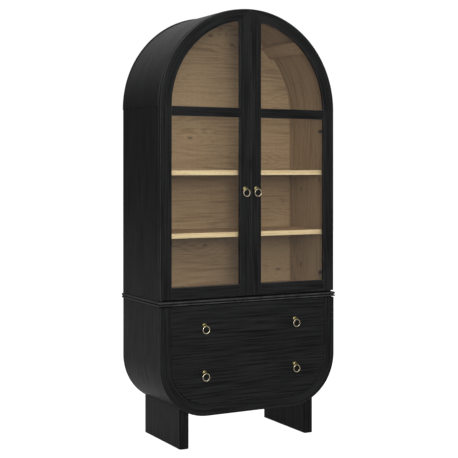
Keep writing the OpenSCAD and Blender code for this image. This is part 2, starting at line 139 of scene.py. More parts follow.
def looked_through(tree, rays, depth):
    """1 where the camera looks straight at something, or straight through one pane."""
    straight = sums(tree, "LESS_THAN", rays.outputs["Ray Depth"], depth)
    through = sums(tree, "MULTIPLY", rays.outputs["Is Transmission Ray"], straight)
    return sums(tree, "MAXIMUM", rays.outputs["Is Camera Ray"], through)


world = bpy.data.worlds.new("studio")
world.use_nodes = True
sky = world.node_tree
sky.nodes.clear()
direction = add(sky, "ShaderNodeTexCoord")
parts = add(sky, "ShaderNodeSeparateXYZ")
join(sky, (direction.outputs["Generated"], parts.inputs[0]))
toward = sums(sky, "MULTIPLY_ADD", parts.outputs["X"], light_side.x,
              sums(sky, "MULTIPLY", parts.outputs["Y"], light_side.y))
wall = ramped(sky, toward, -1.0, 1.0, wall_dim, wall_light)
rise = ramped(sky, parts.outputs["Z"], horizon_low, horizon_high)
level = sums(sky, "MULTIPLY_ADD", rise, sums(sky, "SUBTRACT", ceiling_light, wall), wall)
seen = add(sky, "ShaderNodeLightPath")
lit = add(sky, "ShaderNodeBackground", {"Color": (1, 1, 1, 1)})
white = add(sky, "ShaderNodeBackground", {"Color": (1, 1, 1, 1), "Strength": white_strength})
pick = add(sky, "ShaderNodeMixShader")
out = add(sky, "ShaderNodeOutputWorld")
looked_at = looked_through(sky, seen, sky_depth)
join(sky, (level, lit.inputs["Strength"]), (looked_at, pick.inputs[0]),
     (lit.outputs[0], pick.inputs[1]), (white.outputs[0], pick.inputs[2]), (pick.outputs[0], out.inputs[0]))
scene.world = world


def softbox(name, place, size, watts):
    """A square lamp aimed at the middle of the cabinet."""
    lamp = bpy.data.lights.new(name, "AREA")
    lamp.size = size
    lamp.energy = watts
    made = bpy.data.objects.new(name, lamp)
    made.location = place
    made.rotation_euler = (lamp_aim - place).to_track_quat("-Z", "Y").to_euler()
    scene.collection.objects.link(made)


softbox("key", key_place, key_size, key_watts)
softbox("fill", fill_place, fill_size, fill_watts)
softbox("overhead", top_place, top_size, top_watts)

floor_mesh = bpy.data.meshes.new("floor")
floor_corners = [(x * floor_half, y * floor_half, 0) for x, y in ((-1, -1), (1, -1), (1, 1), (-1, 1))]
floor_mesh.from_pydata(floor_corners, [], [(0, 1, 2, 3)])
floor = bpy.data.objects.new("floor", floor_mesh)
scene.collection.objects.link(floor)
floor_paint = bpy.data.materials.new("floor_white")
floor_paint.use_nodes = True
paint = floor_paint.node_tree
shader = paint.nodes["Principled BSDF"]
rays = add(paint, "ShaderNodeLightPath")
looked_at = looked_through(paint, rays, floor_depth)
glow = blended(paint, looked_at, floor_glow, (1, 1, 1, 1))
join(paint, (glow, shader.inputs["Emission Color"]))
preset(shader, {"Base Color": floor_bounce, "Roughness": 0.9, "Specular IOR Level": 0.0,
                "Emission Strength": 1.0})
floor_mesh.materials.append(floor_paint)

# ---- Upper side panels ---------------------------------------------------
# Veneered boards, black-stained oak with an open grain that runs up them, and
# softly broken edges. They stand on the deck and carry the bent top.
stain_dark = (0.0026, 0.0027, 0.0030, 1)
stain_light = (0.0145, 0.0148, 0.0156, 1)
# Broken edges are painted lighter than the stain: partly wear, partly a painted highlight along the arris.
stain_wear_highlight = (0.050, 0.050, 0.052, 1)
side_arris = 0.0012


def node_group(name, inputs, outputs):
    """A shader node group with its sockets: (tree, inputs node, outputs node)."""
    tree = bpy.data.node_groups.new(name, "ShaderNodeTree")
    for label, kind, value in inputs:
        socket = tree.interface.new_socket(label, in_out="INPUT", socket_type=kind)
        if value is not None:
            socket.default_value = value
    for label, kind in outputs:
        tree.interface.new_socket(label, in_out="OUTPUT", socket_type=kind)
    return tree, tree.nodes.new("NodeGroupInput"), tree.nodes.new("NodeGroupOutput")


def stretched_noise(tree, along, across, scale_along, scale_across, detail=2.0, shift=0.0):
    """Noise over the board, drawn out along the grain."""
    place = add(tree, "ShaderNodeCombineXYZ")
    join(tree, (sums(tree, "MULTIPLY", along, scale_along), place.inputs[0]),
         (sums(tree, "MULTIPLY_ADD", across, scale_across, shift), place.inputs[1]))
    noise = add(tree, "ShaderNodeTexNoise", {"Scale": 1.0, "Detail": detail, "Roughness": 0.55})
    join(tree, (place.outputs[0], noise.inputs["Vector"]))
    return noise.outputs["Fac"]


def oak_grain():
    """Flat-sawn oak. Board is in metres: X along the grain and Y across it."""
    tree, given, put = node_group(
        "oak_grain",
        [("Board", "NodeSocketVector", None), ("Band Width", "NodeSocketFloat", 0.02),
         ("Swirl", "NodeSocketFloat", 1.6), ("Knots", "NodeSocketFloat", 0.3),
         ("Streaks", "NodeSocketFloat", 110.0)],
        [("Bands", "NodeSocketFloat"), ("Fibre", "NodeSocketFloat"), ("Pores", "NodeSocketFloat"),
         ("Knot", "NodeSocketFloat"), ("Drift", "NodeSocketFloat")])
    split = add(tree, "ShaderNodeSeparateXYZ")
    join(tree, (given.outputs["Board"], split.inputs[0]))
    along, across = split.outputs[0], split.outputs[1]

    # Knots: a cell pattern drawn out along the grain, most cells left empty.
    cell_at = add(tree, "ShaderNodeCombineXYZ")
    join(tree, (sums(tree, "MULTIPLY", along, 2.1), cell_at.inputs[0]),
         (sums(tree, "MULTIPLY", across, 4.6), cell_at.inputs[1]))
    cells = add(tree, "ShaderNodeTexVoronoi", {"Scale": 1.0}, feature="F1", voronoi_dimensions="2D")
    join(tree, (cell_at.outputs[0], cells.inputs["Vector"]))
    chance = add(tree, "ShaderNodeSeparateColor")
    join(tree, (cells.outputs["Color"], chance.inputs[0]))
    has_knot = sums(tree, "LESS_THAN", chance.outputs[0], given.outputs["Knots"])
    near = sums(tree, "MULTIPLY", ramped(tree, cells.outputs["Distance"], 0.36, 0.0), has_knot)
    heart = sums(tree, "MULTIPLY", ramped(tree, cells.outputs["Distance"], 0.045, 0.008), has_knot)

    # Growth bands that wander along the board and bend round the knots.
    drift = stretched_noise(tree, along, across, 1.25, 6.5, 2.0, 3.1)
    wander = sums(tree, "MULTIPLY", sums(tree, "SUBTRACT", drift, 0.5), given.outputs["Swirl"])
    phase = sums(tree, "ADD", sums(tree, "DIVIDE", across, given.outputs["Band Width"]),
                 sums(tree, "ADD", sums(tree, "MULTIPLY", wander, 3.2), sums(tree, "MULTIPLY", near, 2.4)))
    uneven = sums(tree, "SUBTRACT", stretched_noise(tree, along, across, 0.9, 31.0, 1.0, 5.5), 0.5)
    saw = sums(tree, "PINGPONG", sums(tree, "MULTIPLY_ADD", uneven, 2.4, phase), 0.5)
    sharp = sums(tree, "POWER", sums(tree, "MULTIPLY", saw, 2.0), 1.7)
    strength = ramped(tree, stretched_noise(tree, along, across, 0.8, 17.0, 1.0, 7.7), 0.3, 0.7, 0.15, 1.0)
    fibre = stretched_noise(tree, along, across, 4.0, given.outputs["Streaks"], 4.0, 1.3)
    flecks = ramped(tree, stretched_noise(tree, along, across, 38.0, 1100.0, 1.0, 9.2), 0.56, 0.70)
    join(tree, (sums(tree, "MULTIPLY", sharp, strength), put.inputs["Bands"]), (fibre, put.inputs["Fibre"]),
         (flecks, put.inputs["Pores"]), (heart, put.inputs["Knot"]), (drift, put.inputs["Drift"]))
    return tree


def arris_wear_highlight():
    """Where an edge has been broken, it shows wear here and there and a painted highlight. Edge is 1 on a
    broken edge.
    """
    tree, given, put = node_group(
        "arris_wear_highlight", [("Edge", "NodeSocketFloat", 0.0), ("Amount", "NodeSocketFloat", 1.0)],
        [("Wear Highlight", "NodeSocketFloat")])
    place = add(tree, "ShaderNodeTexCoord")
    rub_and_highlight = add(tree, "ShaderNodeTexNoise", {"Scale": 23.0, "Detail": 3.0})
    join(tree, (place.outputs["Object"], rub_and_highlight.inputs["Vector"]))
    patchy = ramped(tree, rub_and_highlight.outputs["Fac"], 0.30, 0.62, 0.35, 1.0)
    amount = sums(tree, "MULTIPLY", patchy, given.outputs["Amount"])
    wear_highlight = sums(tree, "MULTIPLY", given.outputs["Edge"], amount)
    join(tree, (wear_highlight, put.inputs["Wear Highlight"]))
    return tree


grain_tree = oak_grain()
arris_wear_highlight_tree = arris_wear_highlight()


def place_group(tree, inner, **values):
    """An instance of a node group inside a material."""
    made = add(tree, "ShaderNodeGroup")
    made.node_tree = inner
    preset(made, {label.replace("_", " "): value for label, value in values.items()})
    return made


def bare_material(name):
    """A material with only its Principled shader: (material, tree, shader)."""
    made = bpy.data.materials.new(name)
    made.use_nodes = True
    return made, made.node_tree, made.node_tree.nodes["Principled BSDF"]


def wood(name, dark, light, wear_highlight, band_width, swirl, knots, fibre_share, rough, gloss, relief=0.2, wear_highlight_amount=0.4,
         streaks=110.0):
    """Oak in one finish. dark and light are the ends of its figure; the worn colour shows on broken edges,
    as wear and as a painted highlight.
    """
    made, tree, shader = bare_material(name)
    board_at = add(tree, "ShaderNodeUVMap", uv_map="board")
    figure = place_group(tree, grain_tree, Band_Width=band_width, Swirl=swirl, Knots=knots, Streaks=streaks)
    edge = add(tree, "ShaderNodeAttribute", attribute_name="arris")
    edge_wear_highlight = place_group(tree, arris_wear_highlight_tree, Amount=wear_highlight_amount)
    join(tree, (board_at.outputs[0], figure.inputs["Board"]), (edge.outputs["Fac"], edge_wear_highlight.inputs["Edge"]))
    tone = sums(tree, "ADD", sums(tree, "MULTIPLY", figure.outputs["Bands"], 1 - fibre_share),
                sums(tree, "MULTIPLY", ramped(tree, figure.outputs["Fibre"], 0.32, 0.68), fibre_share))
    drift = sums(tree, "SUBTRACT", figure.outputs["Drift"], 0.5)
    tone = sums(tree, "ADD", tone, sums(tree, "MULTIPLY", drift, 0.5))
    clear = ramped(tree, tone, 0.05, 0.95, 1.0, 0.0)
    colour = blended(tree, clear, dark, light)
    pore = tuple(c * 0.45 for c in dark[:3]) + (1,)
    colour = blended(tree, sums(tree, "MULTIPLY", figure.outputs["Pores"], 0.55), colour, pore)
    colour = blended(tree, sums(tree, "MULTIPLY", figure.outputs["Knot"], 0.8), colour, pore)
    # Broken edges turn to the worn colour: wear and a painted highlight along the arris.
    colour = blended(tree, edge_wear_highlight.outputs["Wear Highlight"], colour, wear_highlight)
    dull = sums(tree, "MULTIPLY_ADD", figure.outputs["Pores"], 0.16,
                ramped(tree, figure.outputs["Fibre"], 0.3, 0.7, rough - 0.05, rough + 0.06))
    ridges = sums(tree, "MULTIPLY", figure.outputs["Fibre"], 0.5)
    hollows = sums(tree, "MULTIPLY", figure.outputs["Bands"], 0.25)
    hollows = sums(tree, "MULTIPLY_ADD", figure.outputs["Pores"], 0.7, hollows)
    raised = sums(tree, "SUBTRACT", ridges, hollows)
    bump = add(tree, "ShaderNodeBump", {"Strength": relief, "Distance": 0.0006})
    join(tree, (colour, shader.inputs["Base Color"]), (dull, shader.inputs["Roughness"]),
         (raised, bump.inputs["Height"]), (bump.outputs["Normal"], shader.inputs["Normal"]))
    shader.inputs["Specular IOR Level"].default_value = gloss
    return made


black_oak = wood("black_oak", stain_dark, stain_light, stain_wear_highlight, band_width=0.024, swirl=0.8, knots=0.0,
                 fibre_share=0.78, rough=0.34, gloss=0.12, relief=0.30, wear_highlight_amount=0.9, streaks=150.0)
in_black = (black_oak, "black_oak", "cabinet")

boards_made = 0
board_step = (1.713, 0.937)


def next_board():
    """A new stretch of veneer for each board, so that no two show the same figure."""
    global boards_made
    boards_made += 1
    return Vector((boards_made * board_step[0], boards_made * board_step[1]))


def finish_piece(name, bm, material, slot, body, replaces=(), smooth=40):
    """The bmesh as a shown piece on its body. Broad faces keep flat normals next to their broken edges."""
    bmesh.ops.recalc_face_normals(bm, faces=bm.faces)
    mesh = bpy.data.meshes.new(name)
    bm.to_mesh(mesh)
    bm.free()
    mesh.shade_smooth()
    mesh.set_sharp_from_angle(angle=math.radians(smooth))
    made = bpy.data.objects.new(name, mesh)
    scene.collection.objects.link(made)
    mesh.materials.append(material)
    weigh = made.modifiers.new("even_normals", "WEIGHTED_NORMAL")
    weigh.keep_sharp = True
    weigh.weight = 100
    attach(made, body)
    if replaces:
        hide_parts(*replaces)
    return made


def lay_grain(bm, way):
    """Lays the veneer on a straight piece, with the grain along axis way (0, 1 or 2)."""
    layer = bm.loops.layers.uv.verify()
    start = next_board()
    others = [a for a in range(3) if a != way]
    for face in bm.faces:
        n = face.normal
        across = others[0] if abs(n[others[0]]) < abs(n[others[1]]) else others[1]
        for loop in face.loops:
            at = loop.vert.co
            loop[layer].uv = (at[way] + start.x, at[across] + start.y)


def break_edges(bm, edges, arris):
    """Rounds edges over a little, and marks the new faces as broken edges."""
    mark = bm.faces.layers.float["arris"]
    cut = bmesh.ops.bevel(bm, geom=edges, offset=arris, segments=2, profile=0.6, affect="EDGES")
    for face in cut["faces"]:
        face[mark] = 1.0


def box_into(bm, low, high, arris):
    """Adds a box with broken edges to bm."""
    corners = [bm.verts.new((x, y, z)) for x in (low[0], high[0]) for y in (low[1], high[1])
               for z in (low[2], high[2])]
    sides = ((0, 1, 3, 2), (4, 6, 7, 5), (0, 4, 5, 1), (2, 3, 7, 6), (0, 2, 6, 4), (1, 5, 7, 3))
    faces = [bm.faces.new([corners[i] for i in side]) for side in sides]
    break_edges(bm, list(dict.fromkeys(edge for face in faces for edge in face.edges)), arris)


def new_bmesh():
    """An empty bmesh with the layers that the wood materials read."""
    made = bmesh.new()
    made.loops.layers.uv.new("board")
    made.faces.layers.float.new("arris")
    return made


def board(name, low, high, way, material, slot, body, replaces=(), arris=0.0012):
    """A straight sawn board with broken edges and its grain along axis way."""
    bm = new_bmesh()
    box_into(bm, low, high, arris)
    bm.normal_update()
    lay_grain(bm, way)
    return finish_piece(name, bm, material, slot, body, replaces)


for side in ("left", "right"):
    node = side + "_side_panel"
    board(node + "_board", *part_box(node), 2, *in_black, [node], side_arris)

# ---- Bent arch shell -----------------------------------------------------
# One skin of bending ply veneered in black oak, its grain running over the top,
# a little proud of the straight sides. The back edge is a thin hoop, whose curve
# is lifted a little above the shell's.
shell_low, shell_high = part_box("arch_shell")
spring_z = shell_low.z
shell_r = shell_high.x
hoop_thick = 0.005
hoop_rise = shell_high.z - spring_z - shell_r
shell_in_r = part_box("right_side_panel")[0].x
bend_steps = 96
skin_arris, hoop_arris = 0.0014, 0.0008


def rounded(corners, steps=2):
    """A closed section from (inset, depth, radius) corners: its points, and whether
    the stretch after each point lies on a rounded edge."""
    points, marks = [], []
    count = len(corners)
    for i, (x, y, r) in enumerate(corners):
        before, after = Vector(corners[i - 1][:2]), Vector(corners[(i + 1) % count][:2])
        here = Vector((x, y))
        if not r:
            points.append(here)
            marks.append(False)
            continue
        back, on = (before - here).normalized(), (after - here).normalized()
        start, stop = here + back * r, here + on * r
        for k in range(steps + 1):
            t = k / steps
            points.append((1 - t) ** 2 * start + 2 * t * (1 - t) * here + t * t * stop)
            marks.append(k < steps)
    return points, marks


def running(points):
    """The length along a line of points, up to each of them."""
    far = [0.0]
    for a, b in zip(points, points[1:]):
        far.append(far[-1] + math.hypot(b[0] - a[0], b[1] - a[1]))
    return far


def sweep(name, outline, section, marks, material, slot, body, replaces=(), closed=False, smooth=40,
          fold=()):
    """A piece whose section (inset, depth) follows an outline. outline(inset) gives its
    X-Z points, and the same number of them for every inset. fold names two section points
    where the far end changes slope."""
    bm = new_bmesh()
    mark = bm.faces.layers.float["arris"]
    layer = bm.loops.layers.uv["board"]
    start = next_board()
    ways = [outline(p.x) for p in section]
    stations = len(ways[0])
    rings = [[bm.verts.new((way[i][0], p.y, way[i][1])) for way, p in zip(ways, section)]
             for i in range(stations)]
    middle = ways[len(ways) // 2]
    run = running(middle + middle[:1] if closed else middle)
    girth = [0.0]
    for j in range(len(section)):
        girth.append(girth[-1] + (section[(j + 1) % len(section)] - section[j]).length)
    for i in range(stations if closed else stations - 1):
        for j in range(len(section)):
            k = (j + 1) % len(section)
            near, far = rings[i], rings[(i + 1) % stations]
            face = bm.faces.new((near[j], far[j], far[k], near[k]))
            face[mark] = 1.0 if marks[j] else 0.0
            where = ((run[i], girth[j]), (run[i + 1], girth[j]),
                     (run[i + 1], girth[j + 1]), (run[i], girth[j + 1]))
            for loop, (u, v) in zip(face.loops, where):
                loop[layer].uv = (u + start.x, v + start.y)
    if not closed:
        for ring in (rings[0], rings[-1]):
            face = bm.faces.new(ring)
            for loop, p in zip(face.loops, section):
                loop[layer].uv = (p.x + start.x, p.y + start.y)
        if fold:
            bmesh.utils.face_split(face, rings[-1][fold[0]], rings[-1][fold[1]])
    return finish_piece(name, bm, material, slot, body, replaces, smooth)


def half_round(radius, steps=bend_steps):
    """The outline of the arch from right to left, for insets from a given radius."""
    return lambda inset: [((radius - inset) * math.cos(a), spring_z + (radius - inset) * math.sin(a))
                          for a in np.linspace(0, math.pi, steps + 1)]


def skin_section(thick, y0, y1, r):
    """The section of a bent skin with broken edges."""
    return rounded([(0, y0, r), (thick, y0, r), (thick, y1, r), (0, y1, r)])


def lifted_hoop(inset):
    """The hoop's outline from right to left: lifted at its rim, true to the shell at its inside."""
    lift = hoop_rise * (1 - inset / (shell_r - shell_in_r))
    way = half_round(shell_r)(inset)
    return [way[0]] + [(x, z + lift) for x, z in way[1:-1]] + [way[-1]]


hoop_y = shell_high.y - hoop_thick
section, marks = skin_section(shell_r - shell_in_r, shell_low.y, hoop_y, skin_arris)
sweep("arch_shell_skin", half_round(shell_r), section, marks, *in_black, ["arch_shell"])
section, marks = skin_section(shell_r - shell_in_r, hoop_y, shell_high.y, hoop_arris)
sweep("arch_shell_hoop", lifted_hoop, section, marks, *in_black)

# ---- Inner linings -------------------------------------------------------
# Thin sheets faced with natural oak, lacquered matt. The grain runs up the
# sides and on over the curved ceiling.
oak_dark = (0.225, 0.142, 0.070, 1)
oak_light = (0.345, 0.238, 0.128, 1)
# The oak's broken edges are painted lighter: wear and a painted highlight.
oak_wear_highlight = (0.40, 0.28, 0.16, 1)
lining_arris = 0.0005
natural_oak = wood("natural_oak", oak_dark, oak_light, oak_wear_highlight, band_width=0.045, swirl=1.7, knots=0.50,
                   fibre_share=0.50, rough=0.55, gloss=0.16)
in_oak = (natural_oak, "natural_oak", "cabinet")

for side in ("left", "right"):
    node = side + "_side_lining"
    board(node + "_sheet", *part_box(node), 2, *in_oak, [node], lining_arris)
lining_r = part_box("right_side_lining")[1].x
inner_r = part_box("right_side_lining")[0].x
section, marks = skin_section(lining_r - inner_r, shell_low.y, shell_high.y, lining_arris)
sweep("arch_lining_sheet", half_round(lining_r), section, marks, *in_oak, ["arch_lining"])

# ---- Upper back panel, its rails and the deck ----------------------------
# An arched sheet of oak-faced board with the grain running across, screwed on
# two rails from behind. The deck is the floor of the glazed case.
panel_arris, rail_arris, deck_arris = 0.0008, 0.0015, 0.0006
# A face looks along an axis when its normal's share of that axis is over this.
facing = 0.7


def prism(name, outline, y0, y1, grain, arris, material, slot, body, replaces=()):
    """A flat piece cut to an X-Z outline. grain(at, normal) gives the place on the veneer."""
    bm = new_bmesh()
    layer = bm.loops.layers.uv["board"]
    front = [bm.verts.new((x, y0, z)) for x, z in outline]
    back = [bm.verts.new((x, y1, z)) for x, z in outline]
    caps = [bm.faces.new(front), bm.faces.new(back)]
    for i in range(len(outline)):
        k = (i + 1) % len(outline)
        bm.faces.new((front[i], front[k], back[k], back[i]))
    break_edges(bm, [edge for cap in caps for edge in cap.edges], arris)
    bm.normal_update()
    start = next_board()
    for face in bm.faces:
        for loop in face.loops:
            u, v = grain(loop.vert.co, face.normal)
            loop[layer].uv = (u + start.x, v + start.y)
    return finish_piece(name, bm, material, slot, body, replaces)


def grain_across(at, normal):
    """The grain runs from side to side."""
    return at.x, at.z if abs(normal.z) < facing else at.y


back_low, back_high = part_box("upper_back_panel")
arched = [(back_low.x, back_low.z), (back_high.x, back_low.z)] + half_round(inner_r)(0)
back_oak = wood("back_panel_oak", oak_dark, oak_light, oak_wear_highlight, band_width=0.060, swirl=2.2, knots=0.80,
                fibre_share=0.42, rough=0.55, gloss=0.16)
prism("upper_back_sheet", arched, back_low.y, back_high.y, grain_across, panel_arris, back_oak,
      "natural_oak", "cabinet", ["upper_back_panel"])

rail_low, rail_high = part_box("back_rails")
rail_h = 0.080
for label, z in (("lower", rail_low.z), ("upper", rail_high.z - rail_h)):
    board(label + "_back_rail", (rail_low.x, rail_low.y, z), (rail_high.x, rail_high.y, z + rail_h), 0,
          *in_oak, ["back_rails"] if label == "lower" else (), rail_arris)
board("upper_deck_board", *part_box("upper_deck"), 0, *in_oak, ["upper_deck"], deck_arris)

# ---- Ceiling battens -----------------------------------------------------
# Two planed oak battens stiffen the bent ceiling, glued under it from the
# doors to the back panel, one on each side.
batten_angle = math.radians(45)
batten_w, batten_t = 0.070, 0.018
batten_slope = 0.7


def batten_outline(turn):
    """The section of a batten whose upper face is scribed to the ceiling."""
    half = math.asin(batten_w / 2 / inner_r)
    face = inner_r * math.cos(half) - batten_t
    top = [(inner_r * math.cos(a), inner_r * math.sin(a)) for a in np.linspace(half, -half, 9)]
    section = [(face, -batten_w / 2), (face, batten_w / 2)] + top
    c, s = math.cos(turn), math.sin(turn)
    return [(c * x - s * z, spring_z + s * x + c * z) for x, z in section]


def grain_deep(at, normal):
    """The grain runs from front to back."""
    x, z = at.x * batten_slope, at.z * batten_slope
    return at.y, x + z if normal.x * normal.z < 0 else x - z


batten_oak = wood("batten_oak", (0.27, 0.165, 0.078, 1), (0.41, 0.285, 0.155, 1), oak_wear_highlight, band_width=0.035,
                  swirl=1.2, knots=0.0, fibre_share=0.5, rough=0.55, gloss=0.16)
for side, turn in (("left", math.pi - batten_angle), ("right", batten_angle)):
    node = side + "_ceiling_batten"
    low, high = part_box(node)
    prism(node + "_bar", batten_outline(turn), low.y, high.y, grain_deep, 0.0012, batten_oak, "natural_oak",
          "cabinet", [node])

# ---- Shelves -------------------------------------------------------------
# Thick boards veneered in natural oak, each with a pale solid edge band glued
# along its front. They lie on four steel pins.
band_thick = 0.0012
shelf_arris, band_arris = 0.0008, 0.0004
pale_dark = (0.49, 0.355, 0.180, 1)
pale_light = (0.70, 0.540, 0.305, 1)
# The band's broken edges are painted lighter: wear and a painted highlight.
pale_wear_highlight = (0.76, 0.61, 0.40, 1)
pale_oak = wood("pale_oak", pale_dark, pale_light, pale_wear_highlight, band_width=0.012, swirl=1.0, knots=0.0,
                fibre_share=0.5, rough=0.5, gloss=0.22, wear_highlight_amount=0.3)
shelf_oak = wood("shelf_oak", (0.25, 0.140, 0.068, 1), (0.40, 0.250, 0.130, 1), oak_wear_highlight, band_width=0.030,
                 swirl=1.4, knots=0.1, fibre_share=0.36, rough=0.5, gloss=0.2)

for label in ("lower", "upper"):
    node = label + "_shelf"
    low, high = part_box(node)
    board(node + "_board", (low.x, low.y + band_thick, low.z), high, 0, shelf_oak, "pale_oak", "cabinet",
          [node], shelf_arris)
    board(node + "_edge_band", low, (high.x, low.y + band_thick, high.z), 0, pale_oak, "pale_oak",
          "cabinet", (), band_arris)

# ---- Shelf pins ----------------------------------------------------------
# Turned steel pins, zinc plated, pushed into the sides under each shelf, four
# to a shelf.
zinc_light = (0.62, 0.63, 0.65, 1)
zinc_dark = (0.44, 0.45, 0.47, 1)


def metal(name, dark, light, rough, spread, streak):
    """A plated or drawn metal with a fine directional tooling and a mottled polish."""
    made, tree, shader = bare_material(name)
    place = add(tree, "ShaderNodeTexCoord")
    draw = add(tree, "ShaderNodeMapping")
    draw.inputs["Scale"].default_value = streak
    tooling = add(tree, "ShaderNodeTexNoise", {"Scale": 1.0, "Detail": 3.0})
    mottle = add(tree, "ShaderNodeTexNoise", {"Scale": 85.0, "Detail": 4.0, "Roughness": 0.6})
    join(tree, (place.outputs["Object"], draw.inputs[0]), (draw.outputs[0], tooling.inputs["Vector"]),
         (place.outputs["Object"], mottle.inputs["Vector"]))
    tone = ramped(tree, mottle.outputs["Fac"], 0.32, 0.68)
    dull = sums(tree, "ADD", ramped(tree, mottle.outputs["Fac"], 0.3, 0.7, rough - spread, rough + spread),
                sums(tree, "MULTIPLY", sums(tree, "SUBTRACT", tooling.outputs["Fac"], 0.5), spread))
    bump = add(tree, "ShaderNodeBump", {"Strength": 0.12, "Distance": 0.0002})
    join(tree, (blended(tree, tone, dark, light), shader.inputs["Base Color"]),
         (dull, shader.inputs["Roughness"]), (tooling.outputs["Fac"], bump.inputs["Height"]),
         (bump.outputs["Normal"], shader.inputs["Normal"]))
    shader.inputs["Metallic"].default_value = 1.0
    return made


def dress(node, material):
    """Gives a CAD node its material."""
    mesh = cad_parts[node].data
    mesh.materials.clear()
    mesh.materials.append(material)


zinc = metal("zinc_plate", zinc_dark, zinc_light, rough=0.34, spread=0.07, streak=(40, 700, 700))
dress("shelf_pins", zinc)

# ---- Spacer board --------------------------------------------------------
# A thin black board, set back all round, that lifts the upper case off the
# waist board and makes the shadow line under the doors.
spacer_arris = 0.0004
board("spacer_strip", *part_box("spacer_board"), 0, *in_black, ["spacer_board"], spacer_arris)

# ---- Waist board ---------------------------------------------------------
# The top of the lower case, a board with a moulded edge on its front and
# sides: a small bead below and a fuller one above, with a quirk between.
waist_low, waist_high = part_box("waist_board")
low_bead_r = 0.004
quirk_z, quirk_in, quirk_gap = 0.0095, 0.0006, 0.0003
# Faces this near the outermost line count as broken edges and take the worn colour: wear and a painted
# highlight.
wear_highlight_reach = 0.0012
top_shift, back_shift = 3, 5


def waist_profile():
    """The moulded edge as (set back from the outermost line, height), bottom to top."""
    top_r = (waist_high.z - waist_low.z - quirk_z) / 2
    turns = np.linspace(-math.pi / 2, math.pi / 2, 13)
    low = [(low_bead_r * (1 - math.cos(a)), waist_low.z + low_bead_r * (1 + math.sin(a))) for a in turns]
    high = [(top_r * (1 - math.cos(a)), waist_low.z + quirk_z + top_r * (1 + math.sin(a))) for a in turns]
    quirk = [(low_bead_r + quirk_in, waist_low.z + 2 * low_bead_r + quirk_gap),
             (low_bead_r + quirk_in, waist_low.z + quirk_z - quirk_gap)]
    return low + quirk + high


bm = new_bmesh()
mark, layer = bm.faces.layers.float["arris"], bm.loops.layers.uv["board"]
edge_line = waist_profile()
stops = []
for back, z in edge_line:
    x0, x1, y0, y1 = waist_low.x + back, waist_high.x - back, waist_low.y + back, waist_high.y
    stops.append([bm.verts.new(p) for p in ((x0, y1, z), (x0, y0, z), (x1, y0, z), (x1, y1, z))])
for j in range(len(stops) - 1):
    rub_and_highlight = 1.0 if (edge_line[j][0] + edge_line[j + 1][0]) / 2 < wear_highlight_reach else 0.0
    for i in range(3):
        face = bm.faces.new((stops[j][i], stops[j][i + 1], stops[j + 1][i + 1], stops[j + 1][i]))
        face[mark] = rub_and_highlight
        for loop in face.loops:
            at = loop.vert.co
            loop[layer].uv = (at.x if i == 1 else at.y, at.z)
for row in (stops[0], stops[-1]):
    face = bm.faces.new(row)
    for loop in face.loops:
        loop[layer].uv = (loop.vert.co.x + top_shift, loop.vert.co.y)
face = bm.faces.new([row[0] for row in stops] + [row[3] for row in reversed(stops)])
for loop in face.loops:
    loop[layer].uv = (loop.vert.co.x + back_shift, loop.vert.co.z)
finish_piece("waist_moulded_board", bm, *in_black, ["waist_board"], 50)

# ---- Lower case shell and front band -------------------------------------
# A skin bent round the two bottom corners, and the solid band that frames the
# drawer at its front edge. Both carry the grain round the corners.
tub_low, tub_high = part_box("front_band")
lower_shell_low, lower_shell_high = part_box("lower_shell")
half_lower = tub_high.x
corner_r = 0.235
corner_x, corner_z = half_lower - corner_r, tub_low.z + corner_r
corner_steps = 40
band_w, lower_skin = 0.051, 0.016
band_arris, lower_arris = 0.0008, 0.0012


def tub(inset, top):
    """The outline of the lower case from top left, round the bottom, to top right."""
    r = corner_r - inset
    left = [(-corner_x + r * math.cos(a), corner_z + r * math.sin(a))
            for a in np.linspace(math.pi, 1.5 * math.pi, corner_steps)]
    right = [(corner_x + r * math.cos(a), corner_z + r * math.sin(a))
             for a in np.linspace(-math.pi / 2, 0, corner_steps)]
    return [(-half_lower + inset, top)] + left + right + [(half_lower - inset, top)]


section, marks = skin_section(band_w, tub_low.y, tub_high.y, band_arris)
sweep("front_band_frame", lambda inset: tub(inset, tub_high.z), section, marks, *in_black, ["front_band"])
section, marks = skin_section(lower_skin, lower_shell_low.y, lower_shell_high.y, lower_arris)
sweep("lower_shell_skin", lambda inset: tub(inset, lower_shell_high.z), section, marks, *in_black,
      ["lower_shell"])

# ---- Lower back panel and uprights ---------------------------------------
# A thin oak-faced back let into the bent shell, and two upright boards inside
# that carry the drawer slides over the legs.
lower_back_arris, upright_arris = 0.0006, 0.0008
low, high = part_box("lower_back_panel")
prism("lower_back_sheet", tub(lower_skin, high.z), low.y, high.y, grain_across, lower_back_arris, back_oak,
      "natural_oak", "cabinet", ["lower_back_panel"])


def grain_up(at, normal):
    """The grain runs up the piece."""
    return at.z, at.x if abs(normal.x) < facing else at.y


def foot_on_shell(x0, x1, top, inset):
    """The outline of a piece that stands between x0 and x1 on the shell's inside, up to the height top."""
    r = corner_r - inset
    curve = [(x, corner_z - math.sqrt(r * r - (abs(x) - corner_x) ** 2)) for x in np.linspace(x1, x0, 9)]
    return [(x0, top), (x1, top)] + curve


for side in ("left", "right"):
    node = side + "_upright"
    low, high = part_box(node)
    prism(node + "_board", foot_on_shell(low.x, high.x, high.z, lower_skin), low.y, high.y, grain_up,
          upright_arris, *in_oak, [node])

# ---- Legs, glides and bolts ----------------------------------------------
# Two thick slab legs in black oak, rounded on their upright edges, scribed to
# the shell and bolted up into it. Each stands on two nylon glides.
leg_round = 0.009
leg_steps = 6
foot_in, foot_turn = 0.0016, 0.3
nylon_colours = ((0.045, 0.045, 0.047, 1), (0.07, 0.07, 0.072, 1))


